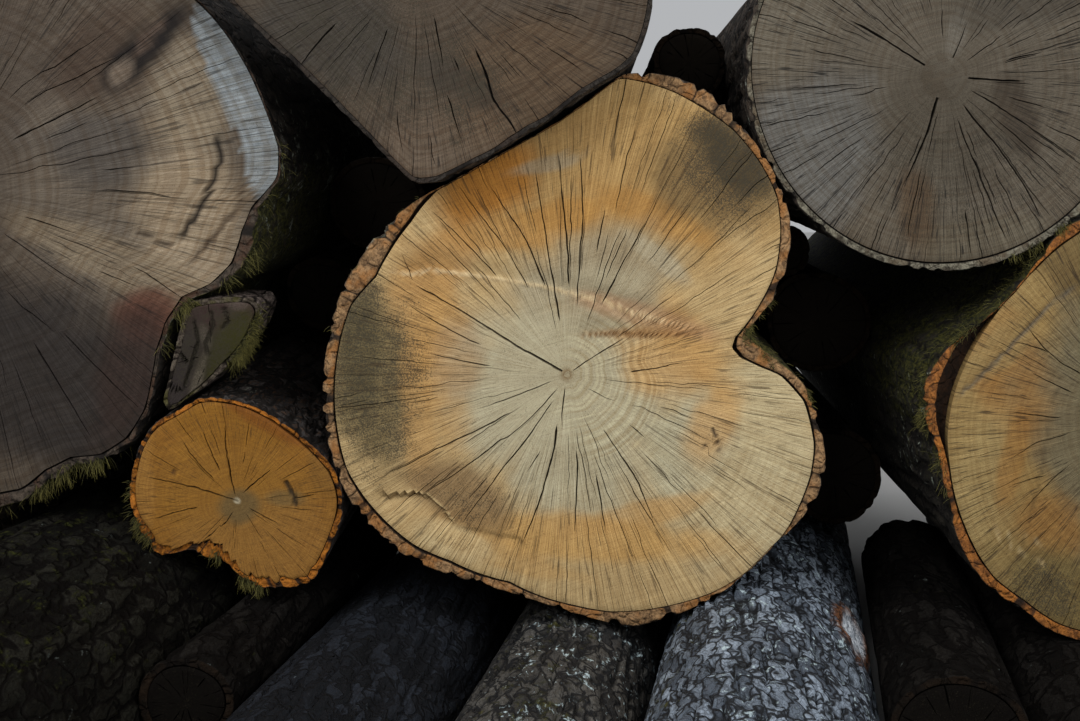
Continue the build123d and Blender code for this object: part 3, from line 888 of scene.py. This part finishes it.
heart = {
    **plainWood, **plainBark, "seed": 11, "rows": 72, "spacing": lambda angle: 0.022,
    "wood": tint(178, 154, 110), "rimWood": tint(176, 154, 112), "fineChecks": 118,
    "fineWidth": 0.6,
    "hair": 0.6, "checkShadeColour": tint(50, 37, 22), "ringsAll": 0.12,
    "ringColour": (0.84, 0.76, 0.64, 1), "ringCount": 46,
    "woodEdge": (
        (10, 219), (30, 234), (39, 238), (66, 233), (86, 226), (106, 215), (134, 195), (155, 169),
        (168, 143), (171, 115), (167, 83), (151, 51), (134, 29), (132, 21), (139, 13), (154, 6),
        (171, -1), (190, -22), (198, -57), (195, -81), (178, -121), (154, -151), (118, -174),
        (78, -186), (34, -190), (6, -185), (-46, -166), (-94, -149), (-122, -137), (-144, -119),
        (-162, -99), (-176, -77), (-184, -45), (-185, 7), (-173, 55), (-153, 78), (-141, 100),
        (-125, 122), (-114, 137), (-93, 157), (-58, 179), (-22, 203),
    ),
    "gap": ((9, 3.5), (20, 1.5), (40, 0.8), (90, 0.5), (118, 2), (132, 3.5), (150, 1.5), (170, 1),
            (215, 2.5), (240, 2.5), (262, 1.5), (290, 0.8), (340, 1.2), (358, 2.5)),
    "zones": (
        (tint(163, 132, 82), (50, 165), (130, 75), 0, 0.9),
        (tint(164, 110, 40), (-66, 152), (46, 28), 38, 0.9),
        (tint(168, 122, 56), (-20, 120), (70, 16), 12, 0.6),
        (tint(170, 122, 58), (-104, 84), (40, 20), 40, 0.5),
        (tint(164, 118, 54), (70, 128), (60, 12), -24, 0.55),
        (tint(168, 132, 82), (-108, 40), (34, 62), 15, 0.7),
        (tint(104, 92, 62), (-160, 8), (34, 74), 6, 0.85),
        (tint(74, 68, 46), (-166, 20), (16, 50), 4, 0.6),
        (tint(172, 136, 84), (-120, -20), (14, 66), 4, 0.7),
        (tint(184, 138, 76), (78, 22), (34, 40), 30, 0.7),
        (tint(182, 142, 84), (-96, 6), (22, 60), 8, 0.6),
        (tint(172, 167, 142), (2, -14), (88, 100), 8, 0.9),
        (tint(148, 138, 114), (34, 84), (58, 36), 14, 0.85),
        (tint(168, 160, 134), (10, 72), (50, 12), 4, 0.6),
        (tint(168, 160, 136), (70, 96), (34, 8), -38, 0.7),
        (tint(186, 150, 96), (88, 10), (42, 30), 0, 0.75),
        (tint(180, 168, 134), (166, -34), (40, 60), 0, 0.8),
        (tint(176, 172, 146), (96, -62), (36, 44), -20, 0.85),
        (tint(177, 165, 132), (146, -108), (60, 46), 30, 0.8),
        (tint(186, 148, 88), (-6, -128), (118, 18), -4, 0.8),
        (tint(182, 144, 88), (60, -112), (60, 10), 14, 0.6),
        (tint(186, 142, 80), (118, -40), (20, 34), -30, 0.6),
        (tint(182, 144, 86), (-40, -150), (60, 8), -14, 0.5),
        (tint(128, 104, 72), (-84, -98), (44, 24), -32, 0.8),
        (tint(150, 128, 100), (-86, 12), (20, 30), 0, 0.4),
        (tint(96, 80, 52), (120, 158), (56, 44), -42, 0.7),
        (tint(60, 52, 34), (134, 174), (38, 22), -48, 0.85),
        (tint(166, 132, 100), (62, 48), (56, 9), -16, 0.6),
        (tint(150, 112, 70), (64, 33), (44, 4), 0, 0.6),
        (tint(196, 182, 144), (-92, -132), (34, 12), -24, 0.5),
        (tint(150, 140, 118), (-18, 168), (26, 6), 12, 0.7),
        (tint(112, 88, 56), (0, 0), (5, 5), 0, 0.8),
    ),
    "mould": (((-158, 10), (40, 90), 8, 0.9), ((130, 165), (52, 44), -40, 1.0),
              ((-80, -100), (40, 26), -30, 0.5)),
    "rings": (((40, -10), (40, 60), 0, 1.0), ((150, -110), (60, 50), 0, 0.3)),
    "checks": (
        (3.8, ((0, 0), (-22, 11), (-38, 22), (-74, 45), (-122, 72))),
        (1.0, ((-124, 76), (-134, 101))), (2.2, ((-2, -12), (-4, -45))),
        (1.9, ((-8, -41), (-10, -57), (-22, -101), (-37, -137))),
        (1.4, ((8, -61), (7, -101), (6, -129))),
        (1.3, ((30, -45), (54, -81), (70, -121))), (1.2, ((23, -81), (31, -129))),
        (1.2, ((28, 57), (46, 90), (66, 127))), (1.4, ((2, 71), (-2, 123), (-8, 179))),
        (1.2, ((11, 59), (12, 139), (10, 179))), (0.9, ((24, 99), (31, 139))),
        (1.4, ((-6, 43), (-14, 91), (-26, 167))), (1.3, ((-18, 71), (-34, 110), (-65, 151))),
        (1.1, ((-30, 71), (-42, 91), (-93, 151))), (1.0, ((-57, 79), (-112, 134))),
        (1.1, ((-70, 24), (-130, 58))), (1.1, ((-62, 7), (-114, 18))),
        (1.1, ((-14, -6), (-34, -14), (-74, -29))),
        (1.3, ((-46, -31), (-86, -51), (-146, -77))), (1.3, ((-6, -13), (-54, -53), (-118, -97))),
        (1.4, ((-12, -22), (-50, -73), (-86, -121))), (1.0, ((-22, -62), (-34, -81))),
        (1.4, ((4, 3), (28, 18), (50, 32))), (1.3, ((50, 2), (96, 11))),
        (1.1, ((18, -13), (42, -22))),
        (1.1, ((51, -41), (66, -53))), (1.8, ((118, -49), (111, -69))),
    ),
    "steps": (
        (((-150, 82), (-122, 79), (-110, 83), (-74, 78), (-46, 74), (-18, 69), (12, 62), (30, 58),
          (46, 50), (74, 42), (106, 34)), 4.5, 20),
        (((6, 30), (46, 32), (74, 30), (102, 31), (110, 35)), 3.0, 16),
        (((-90, -122), (-98, -110), (-110, -98), (-122, -95), (-138, -97), (-154, -98)), 5.0, 16),
        (((-34, -139), (-38, -131), (-54, -129), (-70, -125), (-90, -122)), 1.2, 12),
    ),
    "marks": (
        (((-150, 83), (-122, 80), (-110, 84), (-74, 79), (-46, 75), (-18, 70), (12, 63), (30, 59),
          (46, 51), (74, 43), (108, 36)), 2.2, -0.8, tint(206, 188, 150), 0.6),
        # painted shade: a dark brown line along the foot of the lower saw ledge, partly fresh
        # orange wood
        (((8, 31), (46, 33), (74, 31), (102, 32)), 1.2, 0.8, tint(124, 90, 52), 0.7),
        (((-90, -121), (-98, -109), (-110, -97), (-122, -94), (-138, -96)), 2.0, -0.8,
         tint(210, 188, 140), 0.7),
        (((116, -42), (124, -64)), 1.6, 1.5, tint(56, 44, 34), 0.9),
        (((108, -58), (134, -50)), 1.2, 1.0, tint(70, 54, 40), 0.8),
    ),
    "splits": ((143, 3), (185, 2), (194, 2), (203, 2.5), (268, 2), (281, 2), (338, 3), (322, 4)),
    "bark": ((0, 8),), "barkColumns": 380, "barkRows": 40, "furrowDepth": 5.5, "torn": 2.0,
    "plateSize": 17.0, "plateStretch": 3.4, "rimSink": 0.75,
    "mossAt": ((8, 20, 1.2), (150, 30, 0.6)), "lichenAt": ((145, 30, 0.7),), "strands": 500,
    "strandLength": 6, "strandReach": 30,
    "rim": tint(142, 112, 78), "rimDark": tint(80, 60, 40), "rimWarm": tint(136, 90, 44),
}

# the small log's wood and bark colours are its own tone, darkened in part by painted shade
small = {
    **plainWood, **plainBark, "seed": 23, "rows": 42, "spacing": lambda angle: 0.04,
    "wood": tint(138, 98, 36), "rimWood": tint(130, 88, 28), "fineWidth": 0.45, "fineChecks": 40,
    "zones": (
        (tint(142, 104, 50), (20, -40), (70, 40), 0, 0.7),
        (tint(130, 90, 26), (-10, 66), (60, 22), -10, 0.8),
        (tint(98, 84, 54), (2, -4), (15, 13), 0, 0.8),
        (tint(104, 90, 58), (36, 2), (16, 7), 0, 0.6),
        (tint(190, 184, 160), (0, 0), (2, 2), 0, 0.8),
        (tint(104, 76, 34), (70, 30), (16, 24), 0, 0.5),
        (tint(112, 66, 14), (30, 64), (50, 10), -28, 0.8),
        (tint(150, 112, 56), (-76, 10), (10, 40), 0, 0.5),
    ),
    "checks": (
        (1.5, ((0, 0), (-32, 10), (-72, 19))), (1.3, ((-2, 5), (-6, 25), (-10, 61))),
        (1.2, ((6, 7), (18, 18), (28, 26))), (2.0, ((-3, -9), (-16, -22), (-30, -34))),
        (1.4, ((10, -6), (34, -19))), (1.0, ((46, 2), (64, 6))), (0.9, ((-20, 17), (-44, 49))),
        (0.9, ((-14, 25), (-28, 57))), (0.8, ((-32, -5), (-68, -15))),
    ),
    "marks": ((((38, 17), (46, 2), (47, -7)), 2.6, 2.0, tint(40, 34, 24), 0.9),
              (((-52, 20), (-50, 26)), 2.0, 1.0, tint(70, 44, 16), 0.8)),
    "bark": ((0, 5), (90, 3), (130, 4), (180, 5), (225, 6), (270, 5), (330, 5)), "gap": ((0, 0.3),),
    "ragged": ((0, 0), (190, 0), (205, 6), (235, 9), (275, 8), (300, 6), (325, 0)),
    "barkColumns": 220, "torn": 3.0, "plateSize": 12.0, "furrowDepth": 3.5,
    "rim": tint(142, 88, 22), "rimDark": tint(74, 40, 10), "rimWarm": tint(158, 96, 30),
    "mossAt": ((262, 44, 1.1), (190, 30, 0.7)), "warm": tint(80, 50, 20), "strands": 500,
    "strandLength": 8,
    "strandReach": 16, "dark": tint(26, 24, 24), "pale": tint(66, 62, 60),
}

# the left log's wood and bark colours are its own weathered grey, darkened in part by painted shade
left = {
    **plainWood, **plainBark, "seed": 31, "rows": 62, "fineChecks": 84, "fineWidth": 0.5,
    "spacing": lambda angle: 0.02 if math.cos(angle) > 0.2 else 0.08,
    "wood": tint(72, 64, 56), "rimWood": tint(84, 76, 66), "saw": 0.8, "ringsAll": 0.9, "ring": 0.4,
    "ringCount": 44, "hair": 0.6, "checkShadeColour": tint(16, 12, 9),
    "bevelFrom": ((40, 300), (34, 240), (28, 236), (21, 234), (14, 239), (10, 242), (3, 246),
                  (-2, 254),
                  (-6, 300)),
    "bevel": ((38, 0), (32, 9), (22, 12), (8, 12), (2, 8), (-4, 0)),
    "bevelTone": tint(124, 131, 136),
    "zones": (
        (tint(96, 88, 78), (150, 0), (90, 100), -10, 0.8),
        (tint(66, 63, 61), (130, 30), (60, 26), -8, 0.7),
        (tint(140, 126, 106), (200, -24), (40, 76), 8, 0.85),
        (tint(128, 118, 102), (190, 84), (30, 60), 22, 0.7),
        (tint(120, 108, 90), (140, -58), (90, 18), -24, 0.7),
        (tint(40, 36, 34), (70, -150), (130, 70), -10, 0.95),
        (tint(82, 50, 38), (164, -102), (28, 20), 10, 0.85),
        (tint(46, 34, 29), (150, -150), (24, 60), -14, 0.8),
        (tint(58, 44, 34), (140, 110), (60, 34), 30, 0.6),
        (tint(20, 15, 13), (166, 116), (42, 13), 44, 1.0),
        (tint(98, 88, 78), (145, 93), (13, 8), 44, 0.95),
        (tint(74, 62, 54), (168, 122), (18, 4), 50, 0.9),
    ),
    "checks": (
        (1.4, ((60, 40), (92, 56), (132, 76))), (1.1, ((68, 70), (108, 88), (148, 108))),
        (1.1, ((52, 76), (92, 98), (140, 128))), (0.9, ((130, -2), (164, -4), (188, -10))),
        (0.8, ((130, 15), (162, 18))), (1.4, ((92, -38), (120, -48), (144, -58))),
        (1.0, ((68, -22), (92, -30), (116, -38))), (1.1, ((52, -36), (92, -64), (124, -84))),
        (1.0, ((128, -66), (164, -80))), (1.2, ((156, -62), (180, -78), (200, -92))),
        (1.3, ((52, -84), (74, -100), (96, -116))), (1.2, ((76, -124), (124, -204))),
        (1.0, ((100, -116), (164, -180))),
    ),
    "marks": (
        (((222, 48), (224, 22), (212, -10), (188, -46)), 4.4, 2.0, tint(24, 18, 12), 0.95),
        (((241, 8), (241, -12), (216, -42), (196, -66)), 3.6, 1.0, tint(60, 46, 32), 0.8),
        (((156, -34), (188, -46)), 2.6, 1.0, tint(40, 30, 20), 0.9),
        (((248, -28), (243, -46)), 3.0, 2.5, tint(26, 18, 12), 0.95),
    ),
    "bark": ((3, 1.5), (38, 1.5), (46, 6), (60, 5), (180, 12), (250, 12), (290, 10), (315, 3),
             (330, 3),
             (340, 8), (352, 12)),
    "gap": ((0, 0.5), (270, 2), (300, 1)), "barkColumns": 300, "rimSink": 0.7,
    "mossAt": ((345, 30, 1.2), (284, 30, 1.2)), "lichenAt": ((350, 40, 0.7),), "strands": 900,
    "strandReach": 40, "strandLength": 11, "torn": 2.2, "dark": tint(30, 27, 24),
    "pale": tint(72, 66, 60),
    "rim": tint(70, 61, 52), "rimDark": tint(30, 25, 20), "rimWarm": tint(66, 44, 30),
}

top = {
    **plainWood, **plainBark, "seed": 41, "rows": 46, "fineChecks": 70, "fineWidth": 0.55,
    "spacing": lambda angle: 0.03, "wood": tint(74, 65, 55), "rimWood": tint(70, 61, 51),
    "saw": 0.75,
    "ringsAll": 0.7, "hair": 0.7, "checkShadeColour": tint(16, 12, 9),
    "zones": (
        (tint(92, 80, 68), (20, -140), (60, 34), 20, 0.7),
        (tint(84, 66, 46), (84, -90), (60, 50), 30, 0.5),
        (tint(52, 50, 47), (-70, -50), (60, 40), -20, 0.7),
        (tint(44, 41, 37), (30, -90), (40, 14), -30, 0.5),
    ),
    "mould": (((-40, -60), (90, 50), -20, 0.7), ((60, -110), (30, 30), 0, 0.5)),
    "checks": (
        (3.0, ((46, -66), (58, -104), (69, -118), (79, -135))), (1.6, ((29, -74), (33, -86))),
        (1.6, ((22, -102), (31, -126), (37, -138))), (1.2, ((-16, -114), (-10, -150))),
        (2.0, ((-63, -46), (-93, -82))), (1.2, ((13, -42), (20, -82))),
        (1.2, ((-23, -50), (-39, -98))),
    ),
    "bark": ((0, 4),), "gap": ((0, 0.3),), "barkColumns": 220, "furrowDepth": 3.0,
    "rim": tint(48, 43, 38), "rimDark": tint(24, 21, 18), "rimWarm": tint(44, 35, 28),
    "dark": tint(26, 23, 21), "pale": tint(64, 58, 52),
}

# the round log's wood and bark colours are its own weathered tone, darkened in part by painted
# shade
roundLook = {
    **plainWood, **plainBark, "seed": 53, "rows": 52, "fineChecks": 96, "fineWidth": 0.8,
    "spacing": lambda angle: 0.03, "wood": tint(88, 82, 72), "rimWood": tint(88, 80, 68),
    "saw": 0.4,
    "hair": 0.8, "ringsAll": 0.5, "checkShadeColour": tint(14, 12, 10), "darkFibre": (0.6, 0.56, 0.5, 1),
    "zones": (
        (tint(96, 97, 96), (-100, -50), (50, 60), 0, 0.7),
        (tint(66, 60, 50), (0, -40), (50, 50), 0, 0.5),
        (tint(54, 45, 35), (60, -34), (14, 34), 20, 0.7),
        (tint(76, 58, 38), (-22, -110), (16, 34), 5, 0.7),
        (tint(104, 100, 92), (10, 34), (8, 18), -15, 0.7),
        (tint(102, 97, 86), (-130, 60), (40, 60), 0, 0.5),
        (tint(56, 52, 46), (70, 60), (70, 20), 10, 0.5),
        (tint(90, 84, 70), (40, -130), (60, 20), 10, 0.6),
    ),
    "mould": (((20, -70), (80, 60), 0, 0.5),),
    "checks": (
        (4.8, ((0, 0), (-10, -35), (-34, -86))), (3.4, ((0, 0), (42, -3), (66, -3))),
        (2.4, ((0, 0), (10, 21), (18, 45))), (3.0, ((0, 0), (-37, 24), (-76, 46))),
        (2.0, ((-143, 25), (-118, 19), (-97, 14))), (1.8, ((-97, 14), (-73, 2))),
        (4.0, ((-145, -56), (-110, -43), (-84, -35))), (2.4, ((-106, -98), (-78, -71), (-53, -49))),
        (2.0, ((10, -35), (26, -71), (50, -131))), (2.2, ((16, -23), (42, -51), (78, -114))),
        (1.3, ((22, -11), (66, -39), (106, -71))), (1.1, ((50, 13), (82, 21))),
        (1.3, ((17, -107), (22, -146))), (1.2, ((-118, -18), (-54, -17))),
    ),
    "bark": ((0, 6), (180, 4), (270, 6)), "gap": ((0, 1.0), (180, 0.5), (270, 1.5)),
    "barkColumns": 240, "mossAt": ((320, 40, 1.0),), "lichenAt": ((270, 50, 0.8), (180, 40, 0.3)),
    "rimSink": 0.7, "strands": 500, "strandReach": 20, "strandLength": 6,
    "rim": tint(112, 108, 94), "rimDark": tint(44, 39, 31), "rimWarm": tint(80, 68, 52),
}

# the right log's wood and bark colours are its own tone, darkened in part by painted shade
right = {
    **plainWood, **plainBark, "seed": 61, "rows": 48, "fineChecks": 90, "fineWidth": 0.45,
    "hair": 0.7,
    "spacing": lambda angle: 0.03, "wood": tint(134, 110, 66), "rimWood": tint(142, 122, 80),
    "saw": 0.6,
    "woodEdge": (
        (-34, 168), (-54, 150), (-90, 120), (-126, 78), (-144, 48), (-156, 16), (-160, -14),
        (-158, -36),
        (-154, -60), (-147, -82), (-136, -106), (-122, -126), (-98, -144), (-72, -162), (-46, -170),
        (0, -172), (84, -146), (138, -92), (164, -8), (152, 70), (98, 130), (30, 162),
    ),
    "zones": (
        (tint(140, 104, 56), (-104, 34), (34, 60), 24, 0.85),
        (tint(100, 94, 74), (-20, 0), (70, 110), 4, 0.9),
        (tint(148, 130, 88), (-138, -60), (28, 70), -20, 0.7),
        (tint(138, 98, 44), (-108, -30), (10, 40), -14, 0.6),
        (tint(132, 96, 48), (-76, -84), (30, 22), -30, 0.7),
        (tint(98, 86, 52), (-70, -136), (60, 26), -30, 0.8),
        (tint(138, 122, 82), (-120, 56), (34, 14), 40, 0.6),
        (tint(98, 82, 50), (-60, 136), (60, 34), -40, 0.85),
    ),
    "marks": (
        (((-54, 113), (-84, 86), (-120, 48), (-157, 14)), 2.4, 1.2, tint(86, 82, 74), 0.8),
        (((-80, -116), (-100, -106), (-116, -98)), 1.0, 0.4, tint(176, 158, 118), 0.6),
        (((-76, -104), (-98, -92), (-126, -92)), 1.0, 0.4, tint(176, 158, 118), 0.6),
    ),
    "mould": (((-80, -136), (40, 20), -30, 0.9),),
    "checks": (
        (1.6, ((-52, 36), (-69, 43), (-96, 76))), (1.1, ((-70, 2), (-112, 8))),
        (1.0, ((-83, -44), (-112, -52))),
        (1.2, ((-64, -8), (-112, -32))), (1.1, ((-64, -36), (-104, -80))),
        (1.0, ((-80, 56), (-112, 64))),
        (1.0, ((-61, 23), (-96, 40))),
    ),
    "steps": ((((-150, 14), (-112, 46), (-80, 78), (-48, 112)), 1.6, 20),
              (((-110, -130), (-96, -84), (-85, -42), (-80, -10), (-68, 44)), 1.4, 24)),
    "bark": ((0, 8),),
    "gap": ((0, 1.0), (132, 1.0), (146, 5), (158, 13), (170, 15), (180, 10), (188, 3), (194, 1)),
    "barkColumns": 260, "mossAt": ((150, 70, 1.0),), "lichenAt": ((190, 40, 0.4),), "rimSink": 0.6,
    "splits": ((158, 3), (176, 2), (206, 2), (228, 2)), "strands": 700, "strandReach": 60,
    "torn": 1.6,
    "dark": tint(26, 24, 20), "pale": tint(56, 52, 44), "warm": tint(44, 36, 26),
    "rim": tint(140, 88, 40), "rimDark": tint(70, 42, 20), "rimWarm": tint(150, 94, 38),
}

# very dark weathered wood and bark, darkened further by painted shade, for logs deep in the pile
# and the fillers between logs; unlit below darkens some to near black as painted deep shade
weatheredShadedLog = {
    **plainWood, **plainBark, "wood": tint(30, 26, 22), "rimWood": tint(24, 21, 18), "rows": 12,
    "checkShadeColour": tint(12, 10, 8), "fineChecks": 14, "shine": 0.04,
    "dark": tint(24, 22, 20), "pale": tint(52, 48, 44), "warm": tint(40, 34, 28),
    "furrow": tint(10, 8, 7),
    "lichen": tint(70, 76, 74), "lichenPale": tint(112, 120, 116), "moss": tint(52, 54, 22),
    "mossDark": tint(20, 22, 10), "rim": tint(34, 27, 20), "rimDark": tint(20, 15, 11),
    "rimWarm": tint(30, 22, 15), "barkColumns": 72, "barkRows": 10,
}
unlit = {
    "wood": tint(13, 11, 9), "rimWood": tint(11, 9, 8), "dark": tint(11, 10, 9),
    "pale": tint(27, 25, 23), "warm": tint(20, 17, 14), "rim": tint(16, 13, 10),
}
stoneBark = {
    "dark": tint(58, 66, 76), "pale": tint(140, 152, 166), "warm": tint(86, 90, 100),
    "lichen": tint(150, 172, 178), "lichenPale": tint(214, 232, 236), "furrow": tint(16, 17, 20),
    "plateSize": 15.0, "plateStretch": 1.6, "furrowDepth": 3.5, "scaleCount": 96.0,
    "scaleStretch": 0.32,
}
lowLooks = {
    "low_right_log": {**plainWood, **plainBark, **stoneBark, "seed": 71, "barkColumns": 260,
                      "barkRows": 46, "lichenAt": ((60, 100, 0.5),), "mossAt": ((150, 40, 0.5),),
                      "scars": ((32, 318, 19, 40),)},
    "low_mid_log": {**plainWood, **plainBark, **stoneBark, "seed": 73, "barkColumns": 220,
                    "barkRows": 46,
                    "dark": tint(36, 36, 36), "pale": tint(84, 82, 78), "warm": tint(58, 52, 44),
                    "lichenAt": ((60, 80, 0.55),), "mossAt": ((100, 60, 0.45),)},
    "low_left_log": {**plainWood, **plainBark, **stoneBark, "seed": 79, "barkColumns": 180,
                     "barkRows": 34, "shine": 0.1, "dark": tint(10, 12, 14),
                     "pale": tint(35, 39, 46),
                     "warm": tint(30, 30, 34), "lichen": tint(50, 56, 60),
                     "lichenPale": tint(90, 100, 104)},
    "corner_log": {**weatheredShadedLog, **unlit, "seed": 83},
    # far left log: darker still, painted shade
    "far_left_log": {**weatheredShadedLog, "seed": 89, "barkColumns": 160, "barkRows": 26,
                     "mossAt": ((80, 80, 0.4),),
                     "dark": tint(12, 12, 10), "pale": tint(34, 33, 28), "warm": tint(24, 21, 16)},
    "end_left_log": {**plainWood, **plainBark, "seed": 97, "mossAt": ((90, 60, 0.5),)},
    "end_right_log": {**weatheredShadedLog, **unlit, "seed": 101},
    "gap_left_log": {**weatheredShadedLog, "seed": 103, "mossAt": ((60, 90, 0.8),),
                     "lichenAt": ((0, 90, 0.3),)},
    "gap_high_log": {**weatheredShadedLog, "seed": 105},
    "gap_mid_log": {**weatheredShadedLog, "seed": 107},
    "gap_top_log": {**weatheredShadedLog, "seed": 109, "lichenAt": ((270, 90, 0.3),)},
    "low_gap_left_log": {**weatheredShadedLog, **unlit, "seed": 111},
    "low_gap_right_log": {**weatheredShadedLog, **unlit, "seed": 113},
    "gap_low_log": {**weatheredShadedLog, "seed": 117},
    "gap_right_log": {**weatheredShadedLog, "seed": 119},
}

# the loose slab of bark is cut across its layers: smooth inside to the left, mossy outside
flap = {
    **plainWood, **plainBark, "seed": 131, "rows": 30, "fineChecks": 7, "fineWidth": 0.8,
    "hair": 0.1,
    "spacing": lambda angle: 0.06, "shine": 0.1,
    "wood": tint(44, 38, 35), "rimWood": tint(40, 35, 31), "ringsAll": 0.0, "saw": 0.2,
    "checkShadeColour": tint(14, 11, 9), "bark": ((0, 5),), "gap": ((0, 0.0),), "barkColumns": 150,
    "barkRows": 10, "plateSize": 9.0, "plateStretch": 1.4, "furrowDepth": 2.5, "torn": 2.5,
    "zones": (
        (tint(58, 44, 43), (6, 30), (30, 14), 0, 0.9),
        (tint(92, 86, 76), (-10, -20), (4, 26), -16, 0.8),
        (tint(96, 90, 82), (-4, 14), (5, 12), 20, 0.6),
        (tint(50, 50, 18), (14, 0), (14, 38), -20, 0.95),
        (tint(46, 41, 41), (-22, -10), (8, 44), -14, 0.8),
        (tint(84, 74, 70), (22, 40), (8, 5), 0, 0.7),
    ),
    "marks": (
        (((-30, 5), (-24, 0), (-18, -8)), 1.8, 2.5, tint(12, 9, 8), 1.0),
        (((-36, -22), (-30, -28), (-22, -30)), 1.8, 2.5, tint(12, 9, 8), 1.0),
        (((-14, 30), (-10, 10), (-16, -10), (-24, -34)), 2.2, 2.0, tint(14, 11, 9), 0.9),
        (((0, 36), (2, 22), (-4, 8), (-2, -4)), 2.6, 2.0, tint(18, 13, 12), 0.8),
        (((10, 38), (14, 26), (8, 18)), 2.6, 2.0, tint(18, 13, 12), 0.8),
    ),
    "mould": (((0, 10), (30, 40), 0, 0.9),),
    "mossAt": ((345, 75, 1.4),), "strands": 1500, "strandReach": 12, "strandLength": 9,
    "mossFill": 0.35,
    "dark": tint(34, 28, 26), "pale": tint(96, 86, 80), "warm": tint(60, 46, 42),
    "rim": tint(84, 76, 66), "rimDark": tint(38, 31, 27), "rimWarm": tint(62, 60, 24),
}


def buildLog(plain, look, pith=(0.5, 0.5)):
    # all pieces of one log: two sawn ends, the bark and, where the look has strands, the moss
    log = readLog(plain, pith)
    wood = woodMaterial(plain + "Wood", look)
    bark = barkMaterial(plain + "Bark", look)
    sawnEnd(log, look, wood)
    sawnEnd(log, look, wood, back=True)
    barkJacket(log, look, bark)
    made = [piece for piece in bpy.data.objects if piece.name.startswith(plain + "_")]
    print("built", plain, [(piece.name, len(piece.data.polygons)) for piece in made])


mossLook = mossMaterial()
buildLog("heart_log", heart, (0.486, 0.456))
buildLog("small_log", small, (0.506, 0.463))
buildLog("left_log", left, (0.486, 0.503))
buildLog("top_log", top, (0.477, 0.484))
buildLog("round_log", roundLook)
buildLog("right_log", right, (0.511, 0.513))
buildLog("left_bark", flap)
for name, look in lowLooks.items():
    buildLog(name, look)


# Camera, light and backdrop

# lamps: name, place in metres, width in metres, power in watts; all look at the pile's middle
studio = {
    "cameraX": 0.066, "cameraZ": 0.514, "cameraAway": 1.05, "lens": 43.7, "shift": (-0.056, -0.185),
    "lamps": (("key", (-1.6, -2.6, 2.6), 2.0, 105), ("fill", (1.8, -2.4, 1.6), 2.2, 50)),
    "aim": (0, 0, 0.45), "sky": (0.9, 0.92, 0.95, 1), "skyStrength": 0.5,
    "floor": tint(206, 205, 202), "floorReach": 8,
}


def addCamera(face):
    # camera in front of the sawn end at y = face, looking along +Y, the view moved by its shift
    data = bpy.data.cameras.new("camera")
    data.lens = studio["lens"]
    data.shift_x, data.shift_y = studio["shift"]
    camera = bpy.data.objects.new("camera", data)
    camera.location = (studio["cameraX"], face - studio["cameraAway"], studio["cameraZ"])
    camera.rotation_euler = (math.radians(90), 0, 0)
    bpy.context.scene.collection.objects.link(camera)
    bpy.context.scene.camera = camera


def addFloor():
    # one flat square at z = 0, reaching as far to every side
    far = studio["floorReach"]
    mesh = bpy.data.meshes.new("floor")
    mesh.from_pydata([(-far, -far, 0), (far, -far, 0), (far, far, 0), (-far, far, 0)], [],
                     [(0, 1, 2, 3)])
    floor = bpy.data.objects.new("floor", mesh)
    bpy.context.scene.collection.objects.link(floor)
    material, tree = newMaterial("paleFloor")
    shader = node(tree, "ShaderNodeBsdfPrincipled",
                  {"Base Color": studio["floor"], "Roughness": 0.9})
    node(tree, "ShaderNodeOutputMaterial", {0: shader.outputs[0]})
    mesh.materials.append(material)


def addLamps():
    # square lamps, each turned so that its -Z runs from its place to the aim
    for name, place, size, power in studio["lamps"]:
        light = bpy.data.lights.new(name, "AREA")
        light.energy = power
        light.size = size
        lamp = bpy.data.objects.new(name, light)
        lamp.location = place
        toAim = np.array(studio["aim"]) - np.array(place)
        lamp.rotation_euler = Vector(toAim).to_track_quat("-Z", "Y").to_euler()
        bpy.context.scene.collection.objects.link(lamp)


def addSky():
    # even light from all round, in one colour
    world = bpy.data.worlds.new("studio")
    bpy.context.scene.world = world
    world.use_nodes = True
    background = world.node_tree.nodes["Background"]
    background.inputs[0].default_value = studio["sky"]
    background.inputs[1].default_value = studio["skyStrength"]
    bpy.context.scene.view_settings.view_transform = "Standard"


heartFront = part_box("heart_log")[0][1]
addCamera(heartFront)
addFloor()
addLamps()
addSky()
print("built the stage")
